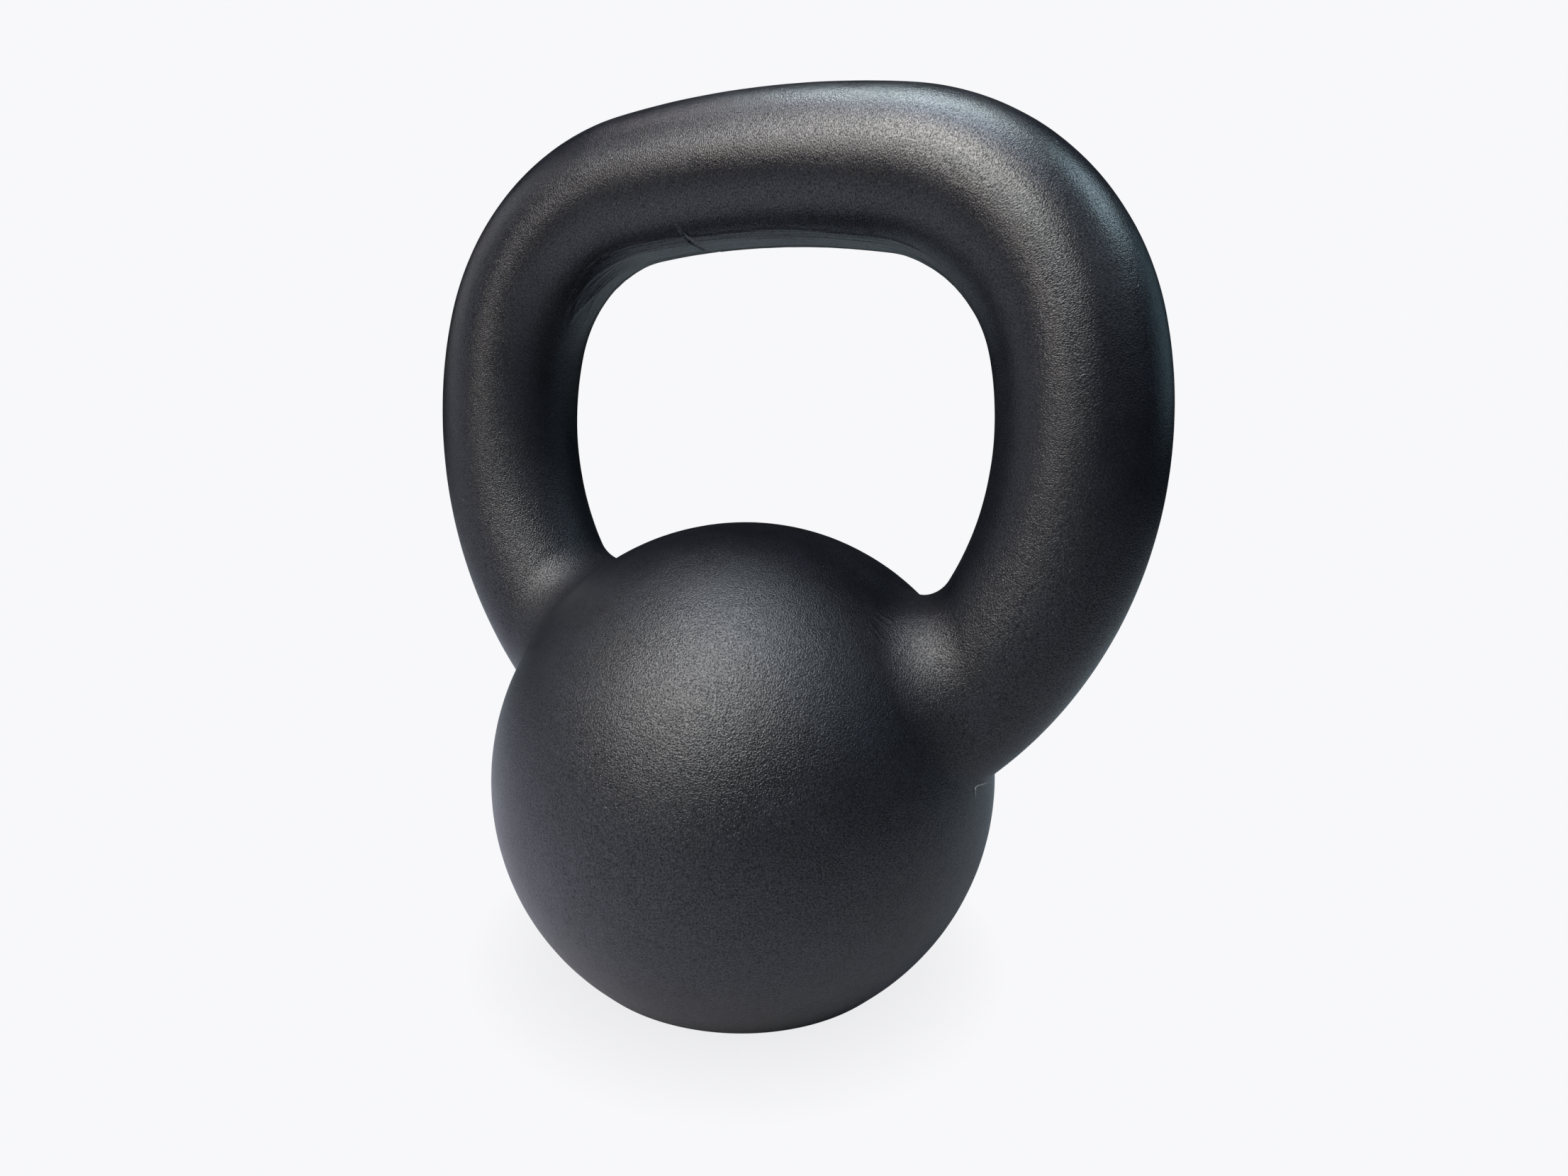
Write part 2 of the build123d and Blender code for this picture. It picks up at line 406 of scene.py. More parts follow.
def lower_skin(piece, share, cuts=None):
    """Moves a piece's points in from the plain shape by a share of the cast skin's depth, and by any cuts."""
    mesh = piece.data
    points = np.empty((len(mesh.vertices), 3))
    mesh.vertices.foreach_get("co", points.ravel())
    normals = np.empty_like(points)
    mesh.vertices.foreach_get("normal", normals.ravel())
    depth = np.full(len(points), SKIN_LEAST_DEPTH)
    for size, height in SKIN_WAVES:
        depth += height * (1 - waves(points, size)) / 2
    depth *= share(points)
    if cuts is not None:
        depth += cuts(points)
    mesh.vertices.foreach_set("co", (points - normals * depth[:, None]).ravel())
    mesh.update()


def disc_grid(cells):
    """Radius 0..1 and azimuth over a square grid laid onto a disc, with cells along each side."""
    side = np.linspace(-1, 1, cells + 1)
    u, v = np.meshgrid(side, side, indexing="ij")
    radius = np.maximum(np.abs(u), np.abs(v))
    safe = np.where(radius == 0, 1, radius)
    eighths = np.where(
        np.abs(u) >= np.abs(v),
        np.where(u >= 0, v / safe, 4 - v / safe),
        np.where(v >= 0, 2 - u / safe, 6 + u / safe),
    )
    return radius, eighths * pi / 4


def revolved(profile, segments):
    """Rings of points about +Z, one for each (radius, height) of the profile, from azimuth -45 degrees on."""
    azimuth = -pi / 4 + np.arange(segments) * 2 * pi / segments
    radius = np.array([r for r, _ in profile])[:, None]
    height = np.array([h for _, h in profile])[:, None]
    return np.stack(
        [radius * np.cos(azimuth), radius * np.sin(azimuth), height + np.zeros_like(azimuth)], axis=-1
    )


def arc_profile(centre_radius, centre_height, arc_radius, first, last, step):
    """(radius, height) along an arc; angles are measured from straight up."""
    count = max(2, int(round(abs(last - first) * arc_radius / step)))
    return [
        (centre_radius + arc_radius * sin(a), centre_height + arc_radius * cos(a))
        for a in np.linspace(first, last, count + 1)
    ]


def line_profile(start, end, step):
    """(radius, height) along a straight line, without its first point."""
    length = sqrt((end[0] - start[0]) ** 2 + (end[1] - start[1]) ** 2)
    count = max(1, int(round(length / step)))
    return [
        (start[0] + (end[0] - start[0]) * k / count, start[1] + (end[1] - start[1]) * k / count)
        for k in range(1, count + 1)
    ]


def make_bell():
    """Ball with a flat base, a rounded base edge and the pocket that the plug closes."""
    centre_height = float(BALL_CENTRE[2])
    edge_reach = sqrt((BALL_RADIUS - BASE_EDGE_RADIUS) ** 2 - (centre_height - BASE_EDGE_RADIUS) ** 2)
    edge_angle = pi - asin(edge_reach / (BALL_RADIUS - BASE_EDGE_RADIUS))
    radius, azimuth = disc_grid(BELL_CAP_CELLS)
    polar = radius * BELL_CAP_ANGLE
    cap = np.stack(
        [
            BALL_RADIUS * np.sin(polar) * np.cos(azimuth),
            BALL_RADIUS * np.sin(polar) * np.sin(azimuth),
            centre_height + BALL_RADIUS * np.cos(polar),
        ],
        axis=-1,
    )
    profile = arc_profile(0, centre_height, BALL_RADIUS, BELL_CAP_ANGLE, edge_angle, BELL_STEP)
    profile += arc_profile(edge_reach, BASE_EDGE_RADIUS, BASE_EDGE_RADIUS, edge_angle, pi, BELL_STEP)[1:]
    lip = PLUG_RADIUS + POCKET_LIP
    profile += line_profile((edge_reach, 0), (lip, 0), BASE_STEP)
    profile += line_profile((lip, 0), (PLUG_RADIUS, POCKET_LIP), POCKET_LIP / 2)
    profile += line_profile((PLUG_RADIUS, POCKET_LIP), (PLUG_RADIUS, POCKET_DEPTH), POCKET_DEPTH / CAP_RINGS)
    profile += line_profile((PLUG_RADIUS, POCKET_DEPTH), (0, POCKET_DEPTH), PLUG_RADIUS / CAP_RINGS)
    rings = revolved(profile, BELL_SEGMENTS)
    bell = closed_object("bell_body", [patch(cap), patch(rings, wrap_columns=True)])

    def outside(points):
        out = np.linalg.norm(points - BALL_CENTRE, axis=1) > BALL_RADIUS - BASE_EDGE_RADIUS
        return out * smoothstep(points[:, 2] / SKIN_BASE_FADE)

    lower_skin(bell, outside, right_root_cuts)
    return bell


def ground_depth(along, around, radius):
    """How much of the bar's underside was ground away; along is negative on the left half."""
    row = np.stack([along, np.zeros_like(along), np.zeros_like(along)], axis=-1)
    fade = 1 - smoothstep((np.abs(along) - GROUND_EVEN_LENGTH) / GROUND_FADE_LENGTH)
    nick_wave = np.stack([np.zeros_like(around), around * radius, np.zeros_like(around)], axis=-1)
    nick = NICK_PLACE + NICK_SLANT * np.degrees(around) + NICK_WANDER * waves(nick_wave, NICK_WAVE)
    deeper = 1 + NICK_STEP * smoothstep((nick - along) / NICK_WIDTH)
    removed = np.zeros_like(along)
    for turn, depth in GROUND_FACETS:
        shifted = row + (0, turn, 0)
        middle = turn + GROUND_WANDER * waves(shifted, GROUND_WANDER_WAVE)
        level = radius - depth * fade * deeper * (1 + waves(shifted + (0, 0, turn), GROUND_WAVE))
        away = np.clip(around - middle, -FACET_REACH, FACET_REACH)
        removed = np.maximum(removed, radius - level / np.cos(away))
    span = np.exp(-((around / NICK_SPAN) ** 4))
    return removed + NICK_DEPTH * span * np.exp(-(((along - nick) / NICK_WIDTH) ** 2))


def make_handle():
    """Bent bar, from the saddle that sits on the ball at one root to the saddle at the other."""
    even = np.arange(BAR_SEGMENTS) * 2 * pi / BAR_SEGMENTS
    around = even - BAR_CROWDING * np.sin(even)
    end = root_length(around, BALL_RADIUS)
    middle_end = end.mean()
    nick_rows = np.arange(NICK_PLACE - NICK_ROWS_REACH, NICK_PLACE + NICK_ROWS_REACH, NICK_ROW_STEP)
    share = np.union1d(np.linspace(-1, 1, 2 * BAR_ROWS + 1), nick_rows / middle_end)[:, None]
    side = np.where(share < 0, -1, 1)
    length = middle_end * np.abs(share) + (end - middle_end) * smoothstep(np.abs(share) * 2 - 1)
    turn = np.broadcast_to((around + pi) % (2 * pi) - pi, length.shape)
    _, _, _, plain_radius = station(length)
    removed = ground_depth(side * length, turn, plain_radius)
    rings = bar_points(length, turn, plain_radius - removed)
    rings[..., 0] *= side
    shrink = np.linspace(1, 0, CAP_RINGS + 1)[1:, None, None]

    def saddle(ring):
        middle = ring.mean(axis=0)
        flat = middle + (ring - middle) * shrink - BALL_CENTRE
        return BALL_CENTRE + flat * BALL_RADIUS / np.linalg.norm(flat, axis=-1, keepdims=True)

    rings = np.concatenate([saddle(rings[0])[::-1], rings, saddle(rings[-1])])
    strip = np.stack([side * length, turn * plain_radius, smoothstep(removed / GROUND_SHOWS)], axis=-1)
    straight = np.stack([side * length, plain_radius * np.cos(turn), plain_radius * np.sin(turn)], axis=-1)
    ends = np.zeros((CAP_RINGS, BAR_SEGMENTS, 3))
    handle = closed_object(
        "handle_bar",
        [patch(rings, wrap_columns=True)],
        {
            GROUND_MARK: np.concatenate([ends, strip, ends]),
            STRAIGHT_MARK: np.concatenate([ends, straight, ends]),
        },
    )

    def unground(points):
        mark = np.empty((len(points), 3), np.float32)
        handle.data.attributes[GROUND_MARK].data.foreach_get("vector", mark.ravel())
        return 1 - mark[:, 2]

    lower_skin(handle, unground)
    return handle


def weld_radius(around):
    """Fillet radius at these angles round the bar, eased between the window, the faces and the outside."""
    mean = (WELD_RADIUS_IN_WINDOW + 2 * WELD_RADIUS_AT_SIDES + WELD_RADIUS_OUTSIDE) / 4
    lean = (WELD_RADIUS_IN_WINDOW - WELD_RADIUS_OUTSIDE) / 2
    pinch = (WELD_RADIUS_IN_WINDOW + WELD_RADIUS_OUTSIDE - 2 * WELD_RADIUS_AT_SIDES) / 4
    return mean + lean * np.cos(around) + pinch * np.cos(2 * around)


def unit(vectors):
    """These vectors at length 1."""
    return vectors / np.linalg.norm(vectors, axis=-1, keepdims=True)


def horn_axis(points):
    """Nearest centreline points of the right horn, and the bar's radius there."""
    first, radius, centre_x, centre_z, before = ARCS[-1]
    turn = np.arctan2(points[:, 0] - centre_x, points[:, 2] - centre_z)
    x, z, _, bar_radius = station(before + (turn - first) * radius)
    return np.stack([x, np.zeros_like(x), z], axis=-1), bar_radius[:, None]


def near_path(points, path):
    """How far these points lie from a path, and how many path points along it they are nearest."""
    nearest, place = np.full(len(points), np.inf), np.zeros(len(points))
    for k, (start, end) in enumerate(zip(path[:-1], path[1:])):
        share = np.clip((points - start) @ (end - start) / np.sum((end - start) ** 2), 0, 1)
        away = np.linalg.norm(points - start - share[:, None] * (end - start), axis=1)
        place = np.where(away < nearest, k + share, place)
        nearest = np.minimum(nearest, away)
    return nearest, place


def lip_share(points, width):
    """How much of the lip, with this width, these points have."""
    away, place = near_path(points, LIP_PATH)
    return np.interp(place, np.arange(len(LIP_STRENGTH)), LIP_STRENGTH) * np.exp(-((away / width) ** 2))


def right_root_cuts(points):
    """Depth of the small marks at the right root: bead ripples, and a raised lip that ends in a pit."""
    depth = -LIP_HEIGHT * lip_share(points, LIP_WIDTH)
    for ripple in RIPPLES:
        depth -= RIPPLE_HEIGHT * np.exp(-((near_path(points, ripple)[0] / RIPPLE_WIDTH) ** 2))
    return depth + PIT_DEPTH * np.exp(-((np.linalg.norm(points - PIT_PLACE, axis=1) / PIT_RADIUS) ** 2))


def rolled_fillet(around):
    """Corners, centres and radii of a ball rolled between the bell and the bar, and its ways to both."""
    corner = bar_points(root_length(around, BALL_RADIUS), around)
    radius = weld_radius(around)[:, None]
    ball_normal = unit(corner - BALL_CENTRE)
    axis, _ = horn_axis(corner)
    bar_normal = unit(corner - axis)
    rolling = corner.copy()
    for _ in range(ROLLING_STEPS):
        axis, bar_radius = horn_axis(rolling)
        from_ball = np.linalg.norm(rolling - BALL_CENTRE, axis=-1, keepdims=True)
        rolling = rolling + ball_normal * (BALL_RADIUS + radius - from_ball)
        from_bar = np.linalg.norm(rolling - axis, axis=-1, keepdims=True)
        rolling = rolling + bar_normal * (bar_radius + radius - from_bar)
    return corner, rolling, radius, unit(BALL_CENTRE - rolling), unit(axis - rolling)


def weld_toes(arc, to_ball, to_bar):
    """Rows of points past each toe of the fillet, just under the bell or the bar so that no edge shows."""
    toe = np.linspace(0, 1, TOE_STEPS + 1)[1:, None, None]
    toe_depth = np.where(toe < 1, WELD_TOE_SINK * toe**2, WELD_TOE_DROP)
    ball_way = unit(to_ball * (to_ball * to_bar).sum(-1, keepdims=True) - to_bar)
    bar_way = unit(to_bar * (to_ball * to_bar).sum(-1, keepdims=True) - to_ball)
    under_ball = unit(arc[0] + ball_way * WELD_TOE_LENGTH * toe - BALL_CENTRE)
    under_ball = BALL_CENTRE + under_ball * (BALL_RADIUS - toe_depth)
    beside_bar = (arc[-1] + bar_way * WELD_TOE_LENGTH * toe).reshape(-1, 3)
    axis, bar_radius = horn_axis(beside_bar)
    sink = np.repeat(toe_depth.reshape(-1, 1), WELD_SEGMENTS, axis=0)
    under_bar = axis + unit(beside_bar - axis) * (bar_radius - sink)
    return under_ball, under_bar.reshape(TOE_STEPS, WELD_SEGMENTS, 3)


def make_weld(side):
    """Fillet ring round the left or right root."""
    around = np.arange(WELD_SEGMENTS) * 2 * pi / WELD_SEGMENTS
    corner, rolling, radius, to_ball, to_bar = rolled_fillet(around)
    opening = np.arccos(np.clip((to_ball * to_bar).sum(-1, keepdims=True), -1, 1))
    share = np.linspace(0, 1, WELD_ARC_STEPS + 1)[:, None, None]
    swing = (np.sin((1 - share) * opening) * to_ball + np.sin(share * opening) * to_bar) / np.sin(opening)
    arc = rolling + swing * radius
    under_ball, under_bar = weld_toes(arc, to_ball, to_bar)
    throat = unit(to_ball + to_bar)
    core = rolling + throat * (np.linalg.norm(corner - rolling, axis=-1, keepdims=True) + WELD_CORE_DEPTH)
    inner = np.linspace(0, 1, CAP_RINGS + 1)[1:, None, None]
    skin = np.concatenate([under_ball[::-1], arc, under_bar])
    loop = np.concatenate([skin, skin[-1] + (core - skin[-1]) * inner, core + (skin[0] - core) * inner[:-1]])
    if side == "left":
        loop = loop * (-1, 1, 1)
    mark = np.zeros_like(loop)
    mark[TOE_STEPS : TOE_STEPS + len(arc), :, 0] = np.sin(pi * share[..., 0])
    mark[..., 1] = lip_share(loop.reshape(-1, 3), LIP_WEAR_AND_HIGHLIGHT_WIDTH).reshape(loop.shape[:2])
    bead = patch(loop, wrap_rows=True, wrap_columns=True)
    weld = closed_object(side + "_weld_bead", [bead], {WELD_MARK: mark})
    lower_skin(weld, lambda points: np.ones(len(points)), lambda points: right_root_cuts(points) - WELD_LIFT)
    return weld


def make_plug():
    """Pressed-in disc with a chamfered edge and a turned face."""
    low, high = plug_low.z, plug_high.z
    flat = PLUG_RADIUS - PLUG_CHAMFER
    rows = np.linspace(0, flat, int(TURNED_STEPS * flat / TURNED_PITCH) + 1)
    profile = [(r, low + TURNED_DEPTH * (1 - cos(2 * pi * (flat - r) / TURNED_PITCH)) / 2) for r in rows]
    profile += line_profile((flat, low), (PLUG_RADIUS, low + PLUG_CHAMFER), PLUG_CHAMFER / 2)
    profile += line_profile((PLUG_RADIUS, low + PLUG_CHAMFER), (PLUG_RADIUS, high), (high - low) / CAP_RINGS)
    profile += line_profile((PLUG_RADIUS, high), (0, high), PLUG_RADIUS / CAP_RINGS)
    return closed_object("base_plug_disc", [patch(revolved(profile, PLUG_SEGMENTS), wrap_columns=True)])


# Materials

def add(tree, kind, inputs=None, **settings):
    """A new node with these settings and socket values."""
    made = tree.nodes.new(kind)
    for name, value in settings.items():
        setattr(made, name, value)
    for name, value in (inputs or {}).items():
        made.inputs[name].default_value = value
    return made


def start_material(name, **sockets):
    """A material with a Principled shader whose constant sockets are set, and its object coordinates."""
    material = bpy.data.materials.new(name)
    material.use_nodes = True
    tree = material.node_tree
    shader = tree.nodes["Principled BSDF"]
    for socket, value in sockets.items():
        shader.inputs[socket.replace("_", " ")].default_value = value
    place = add(tree, "ShaderNodeTexCoord").outputs["Object"]
    return material, tree, shader, place


def noise_node(tree, place, detail, roughness, size=1.0):
    """Noise with features of this size over a place, or of size 1 over a stretched one."""
    made = add(
        tree, "ShaderNodeTexNoise", {"Scale": 1 / size, "Detail": detail, "Roughness": roughness}
    )
    tree.links.new(place, made.inputs["Vector"])
    return made.outputs["Fac"]


def spread(tree, value, low, high, to_low, to_high):
    """Maps a value's range onto another, clamped."""
    made = add(
        tree,
        "ShaderNodeMapRange",
        {"From Min": low, "From Max": high, "To Min": to_low, "To Max": to_high},
    )
    tree.links.new(value, made.inputs["Value"])
    return made.outputs["Result"]


def maths(tree, operation, first, second, third=None):
    """A math node; each operand is a socket or a number."""
    made = add(tree, "ShaderNodeMath", operation=operation)
    for socket, value in zip(made.inputs, (first, second, third)):
        if isinstance(value, (int, float)):
            socket.default_value = value
        elif value is not None:
            tree.links.new(value, socket)
    return made.outputs[0]


def mixed(tree, share, first, second):
    """A colour mix; first and second are colours or sockets."""
    made = add(tree, "ShaderNodeMix", data_type="RGBA")
    # A mix node has sockets for every type of data, and only those of the chosen type are enabled
    factor, *colours = [socket for socket in made.inputs if socket.enabled]
    tree.links.new(share, factor)
    for socket, value in zip(colours, (first, second)):
        if isinstance(value, tuple):
            socket.default_value = (*value, 1)
        else:
            tree.links.new(value, socket)
    return next(socket for socket in made.outputs if socket.enabled)


def parts(tree, vector):
    """The X, Y and Z sockets of a vector."""
    made = add(tree, "ShaderNodeSeparateXYZ")
    tree.links.new(vector, made.inputs[0])
    return made.outputs


def stretched(tree, place, sizes):
    """A place in units of these sizes along its three axes."""
    made = add(tree, "ShaderNodeVectorMath", operation="MULTIPLY")
    made.inputs[1].default_value = [1 / size if size else 0 for size in sizes]
    tree.links.new(place, made.inputs[0])
    return made.outputs[0]


def marked(tree, mark):
    """What a mesh mark holds at the shaded point."""
    return add(tree, "ShaderNodeAttribute", attribute_name=mark).outputs["Vector"]


def bump_from(tree, height, shader):
    """Bends the shader's normal by a height in metres."""
    bump = add(tree, "ShaderNodeBump", {"Strength": 1.0, "Distance": 1.0})
    tree.links.new(height, bump.inputs["Height"])
    tree.links.new(bump.outputs["Normal"], shader.inputs["Normal"])


def speck_spots(tree, place):
    """Where the few pale specks lie."""
    specks = add(tree, "ShaderNodeTexVoronoi", {"Scale": 1 / SPECK_SPACING})
    tree.links.new(place, specks.inputs["Vector"])
    spot = spread(tree, specks.outputs["Distance"], SPECK_EDGE_OUT, SPECK_EDGE_IN, 0, 1)
    pick = add(tree, "ShaderNodeSeparateColor")
    tree.links.new(specks.outputs["Color"], pick.inputs[0])
    chosen = maths(tree, "GREATER_THAN", pick.outputs["Red"], 1 - SPECK_SHARE)
    return maths(tree, "MULTIPLY", spot, chosen)


def ground_height(tree, height):
    """The cast skin's height, smoothed and streaked where the bar's underside was ground."""
    strip = marked(tree, GROUND_MARK)
    share = parts(tree, strip)["Z"]
    streaks = noise_node(tree, stretched(tree, strip, (STREAK_LENGTH, STREAK_WIDTH, 0)), *STREAK_NOISE)
    cast_share = maths(tree, "SUBTRACT", 1.0, maths(tree, "MULTIPLY", share, GROUND_SMOOTHING))
    streak_height = maths(tree, "MULTIPLY", share, STREAK_HEIGHT)
    cast_height = maths(tree, "MULTIPLY", height, cast_share)
    return maths(tree, "MULTIPLY_ADD", streaks, streak_height, cast_height)


def coat(name, bar=False, scuffed=False, weld=False):
    """Satin black coat over a cast skin: fine grain, faint mottling and a few pale specks."""
    material, tree, shader, place = start_material(name)
    height_up = parts(tree, place)["Z"]
    on_bar = spread(tree, height_up, BALL_LOOK_TOP, BAR_LOOK_START, 0, 1)
    grain = noise_node(tree, place, *GRAIN_NOISE, GRAIN_SIZE)
    if bar:
        bar_place = stretched(tree, marked(tree, STRAIGHT_MARK), BAR_GRAIN_SIZE)
        bar_grain = noise_node(tree, bar_place, *GRAIN_NOISE)
        grain = maths(tree, "MULTIPLY_ADD", maths(tree, "SUBTRACT", bar_grain, grain), on_bar, grain)

    mottle = noise_node(tree, place, *MOTTLE_NOISE, MOTTLE_SIZE)
    colour = mixed(tree, spread(tree, mottle, *NOISE_RANGE, 0, 1), COAT_DARK, COAT_LIGHT)
    colour = mixed(tree, speck_spots(tree, place), colour, SPECK_COLOUR)
    plain_roughness = spread(tree, on_bar, 0, 1, ROUGHNESS_BALL, ROUGHNESS_BAR)
    cloud = noise_node(tree, place, *CLOUD_NOISE, CLOUD_SIZE)
    swing = spread(tree, cloud, *CLOUD_RANGE, -ROUGHNESS_SWING, ROUGHNESS_SWING)
    roughness = maths(tree, "ADD", plain_roughness, swing)
    if scuffed:
        on_base = spread(tree, height_up, 0, SCUFF_TOP, 1, 0)
        rubbed = spread(tree, noise_node(tree, place, *SCUFF_NOISE, SCUFF_SIZE), *SCUFF_RANGE, 0, 1)
        scuff = maths(tree, "MULTIPLY", on_base, rubbed)
        colour = mixed(tree, scuff, colour, SCUFF_COLOUR)
        roughness = maths(tree, "MULTIPLY_ADD", scuff, SCUFF_ROUGHENING, roughness)
    if weld:
        mark = parts(tree, marked(tree, WELD_MARK))
        roughness = maths(tree, "MULTIPLY_ADD", mark["X"], WELD_ROUGHENING, roughness)
        # Lip: pale streak on the grain's tops, partly coat worn bare and partly painted highlight
        wear_and_highlight = maths(tree, "MULTIPLY", mark["Y"], spread(tree, grain, *LIP_WEAR_AND_HIGHLIGHT_RANGE, 0, 1))
        colour = mixed(tree, wear_and_highlight, colour, LIP_WEAR_AND_HIGHLIGHT_COLOUR)
    tree.links.new(colour, shader.inputs["Base Color"])
    tree.links.new(roughness, shader.inputs["Roughness"])

    glint_swing = spread(tree, on_bar, 0, 1, GLINT_SWING_BALL, GLINT_SWING_BAR)
    glint = maths(tree, "MULTIPLY_ADD", spread(tree, grain, *NOISE_RANGE, -1, 1), glint_swing, GLINT)
    tree.links.new(glint, shader.inputs["Specular IOR Level"])

    pebble = noise_node(tree, place, *PEBBLE_NOISE, PEBBLE_SIZE)
    strength = spread(tree, on_bar, 0, 1, GRAIN_HEIGHT_BALL, GRAIN_HEIGHT_BAR)
    height = maths(tree, "MULTIPLY_ADD", pebble, PEBBLE_HEIGHT, maths(tree, "MULTIPLY", grain, strength))
    if bar:
        height = ground_height(tree, height)
    bump_from(tree, height, shader)
    return material


def steel(name):
    """Bare shot steel: stained unevenly and finely pitted."""
    material, tree, shader, place = start_material(name, Metallic=1.0)
    stain = noise_node(tree, place, *STEEL_STAIN_NOISE, STEEL_STAIN_SIZE)
    stain = spread(tree, stain, *NOISE_RANGE, 0, 1)
    tree.links.new(mixed(tree, stain, STEEL_DARK, STEEL_LIGHT), shader.inputs["Base Color"])
    tree.links.new(spread(tree, stain, 1, 0, *STEEL_ROUGHNESS), shader.inputs["Roughness"])
    pits = noise_node(tree, place, *STEEL_PIT_NOISE, STEEL_PIT_SIZE)
    bump_from(tree, maths(tree, "MULTIPLY", pits, STEEL_PIT_DEPTH), shader)
    return material


def wood(name):
    """Turned hardwood with its fibres along the slug."""
    material, tree, shader, place = start_material(name)
    fibre = noise_node(tree, stretched(tree, place, WOOD_FIBRE), *WOOD_FIBRE_NOISE)
    fibre = spread(tree, fibre, *NOISE_RANGE, 0, 1)
    tree.links.new(mixed(tree, fibre, WOOD_DARK, WOOD_LIGHT), shader.inputs["Base Color"])
    tree.links.new(spread(tree, fibre, 1, 0, *WOOD_ROUGHNESS), shader.inputs["Roughness"])
    bump_from(tree, maths(tree, "MULTIPLY", fibre, WOOD_FIBRE_HEIGHT), shader)
    return material


coats = {
    "bell": coat("bell_cast_coat", scuffed=True),
    "handle": coat("handle_bar_coat", bar=True),
    "weld": coat("weld_bead_coat", weld=True),
    "plug": coat("plug_disc_coat"),
}
pieces = [
    (make_bell(), "bell", "bell_coat", coats["bell"]),
    (make_handle(), "handle", "handle_coat", coats["handle"]),
    (make_weld("left"), "left_root_weld", "weld_coat", coats["weld"]),
    (make_weld("right"), "right_root_weld", "weld_coat", coats["weld"]),
    (make_plug(), "base_plug", "plug_coat", coats["plug"]),
]
for piece, node, slot, material in pieces:
    piece.data.materials.append(material)
    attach(piece, "root")
    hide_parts(node)
hidden = {"trim_shot": steel("shot_steel_bare"), "pocket_spacer": wood("spacer_wood_turned")}
for node, material in hidden.items():
    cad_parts[node].data.materials.clear()
    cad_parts[node].data.materials.append(material)


def make_camera():
    """Camera at the photograph's place, with its lens and its slight roll."""
    data = bpy.data.cameras.new("photo_camera")
    data.sensor_width = SENSOR_WIDTH
    data.lens = SENSOR_WIDTH * FOCAL_PIXELS / PHOTO_WIDTH
    data.clip_start = CLIP_START
    camera = bpy.data.objects.new("photo_camera", data)
    bpy.context.scene.collection.objects.link(camera)
    centre = Vector(BALL_CENTRE)
    level = cos(VIEW_ELEVATION) * VIEW_DISTANCE
    place = centre + Vector(
        (sin(VIEW_AZIMUTH) * level, -cos(VIEW_AZIMUTH) * level, sin(VIEW_ELEVATION) * VIEW_DISTANCE)
    )
    forward = (centre + VIEW_TARGET - place).normalized()
    right = forward.cross(Vector((0, 0, 1))).normalized()
    up = right.cross(forward)
    rolled_right = right * cos(VIEW_ROLL) + up * sin(VIEW_ROLL)
    rolled_up = up * cos(VIEW_ROLL) - right * sin(VIEW_ROLL)
    turn = Matrix((rolled_right, rolled_up, -forward)).transposed().to_4x4()
    camera.matrix_world = Matrix.Translation(place) @ turn
    bpy.context.scene.camera = camera


def seen_apart(tree, seen, unseen, output):
    """Gives the camera one shader and everything else another."""
    rays = add(tree, "ShaderNodeLightPath")
    either = add(tree, "ShaderNodeMixShader")
    tree.links.new(rays.outputs["Is Camera Ray"], either.inputs[0])
    tree.links.new(unseen.outputs[0], either.inputs[1])
    tree.links.new(seen.outputs[0], either.inputs[2])
    tree.links.new(either.outputs[0], tree.nodes[output].inputs["Surface"])


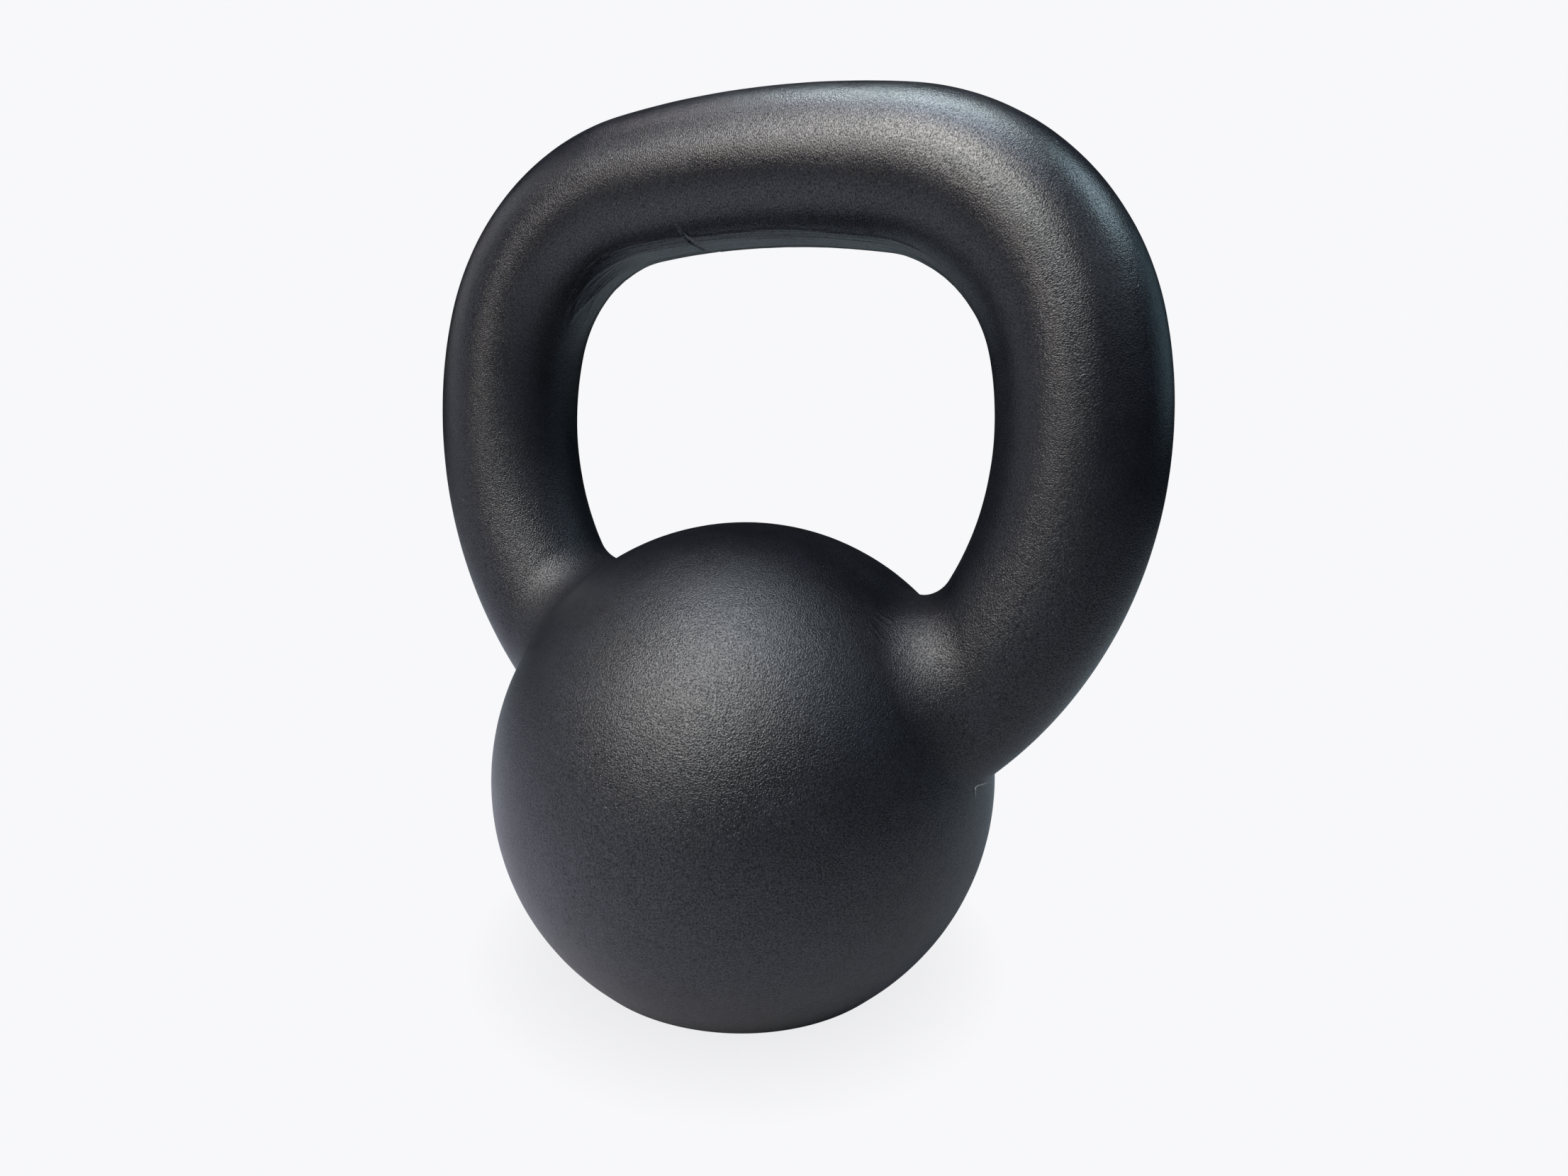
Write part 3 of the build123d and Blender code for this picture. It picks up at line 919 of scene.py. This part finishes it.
def make_floor():
    """Pale floor: even to the camera but for a faint painted contact shadow, and to the coat paper with
    painted light and shade.
    """
    bpy.ops.mesh.primitive_plane_add(size=FLOOR_SIZE)
    floor = bpy.context.object
    floor.name = "floor"
    material = bpy.data.materials.new("floor_paper_painted_light")
    material.use_nodes = True
    tree = material.node_tree
    tree.nodes.remove(tree.nodes["Principled BSDF"])
    place = parts(tree, add(tree, "ShaderNodeTexCoord").outputs["Object"])
    to_right = spread(tree, place["X"], FLOOR_LEFT_EDGE, FLOOR_RIGHT_EDGE, 0, 1)
    to_back = spread(tree, place["Y"], FLOOR_FRONT_EDGE, FLOOR_BEHIND_EDGE, 0, 1)
    far_right = spread(tree, place["X"], FLOOR_FAR_START, FLOOR_FAR_END, 0, 1)
    far_front = spread(tree, place["Y"], -FLOOR_FAR_START, -FLOOR_FAR_END, 0, 1)
    # Painted light and shade on the paper, which only the coat's reflections see
    painted_light_tone = mixed(tree, to_back, mixed(tree, to_right, FLOOR_PAINTED_LIGHT_LEFT, FLOOR_PAINTED_LIGHT_RIGHT), FLOOR_PAINTED_LIGHT_BEHIND)
    painted_light_tone = mixed(tree, far_front, painted_light_tone, FLOOR_PAINTED_SHADE_FAR_FRONT)
    painted_light_tone = mixed(tree, far_right, painted_light_tone, FLOOR_PAINTED_SHADE_FAR_RIGHT)
    paper_with_painted_light = add(tree, "ShaderNodeBsdfDiffuse")
    tree.links.new(painted_light_tone, paper_with_painted_light.inputs["Color"])
    # Painted contact shadow on the camera's even floor tone, from ambient occlusion
    shade = add(tree, "ShaderNodeAmbientOcclusion", {"Distance": CONTACT_REACH}, samples=CONTACT_SAMPLES)
    tone = mixed(tree, shade.outputs["AO"], PAINTED_CONTACT_SHADOW_TONE, BACKGROUND_TONE)
    seen = add(tree, "ShaderNodeEmission")
    tree.links.new(tone, seen.inputs["Color"])
    seen_apart(tree, seen, paper_with_painted_light, "Material Output")
    floor.data.materials.append(material)


def make_world():
    """Even pale surroundings for the camera, and a dim studio for everything else."""
    world = bpy.data.worlds.new("studio")
    world.use_nodes = True
    tree = world.node_tree
    dim = tree.nodes["Background"]
    dim.inputs["Color"].default_value = (*STUDIO_TONE, 1)
    pale = add(tree, "ShaderNodeBackground", {"Color": (*BACKGROUND_TONE, 1)})
    seen_apart(tree, pale, dim, "World Output")
    bpy.context.scene.world = world


def make_lights():
    """Soft boxes round the kettlebell, each aimed at its middle."""
    for name, azimuth, elevation, width, height, radiance, colour in LIGHTS:
        data = bpy.data.lights.new(name, "AREA")
        data.shape = "RECTANGLE"
        data.size = width
        data.size_y = height
        data.energy = radiance * pi * width * height
        data.color = colour
        light = bpy.data.objects.new(name, data)
        bpy.context.scene.collection.objects.link(light)
        turn, tilt = radians(azimuth), radians(elevation)
        way = Vector((sin(turn) * cos(tilt), -cos(turn) * cos(tilt), sin(tilt)))
        light.location = LIGHT_AIM + way * LIGHT_DISTANCE
        light.rotation_euler = way.to_track_quat("Z", "Y").to_euler()
        light.visible_camera = False


make_camera()
make_floor()
make_world()
make_lights()
bpy.context.scene.view_settings.view_transform = "Standard"
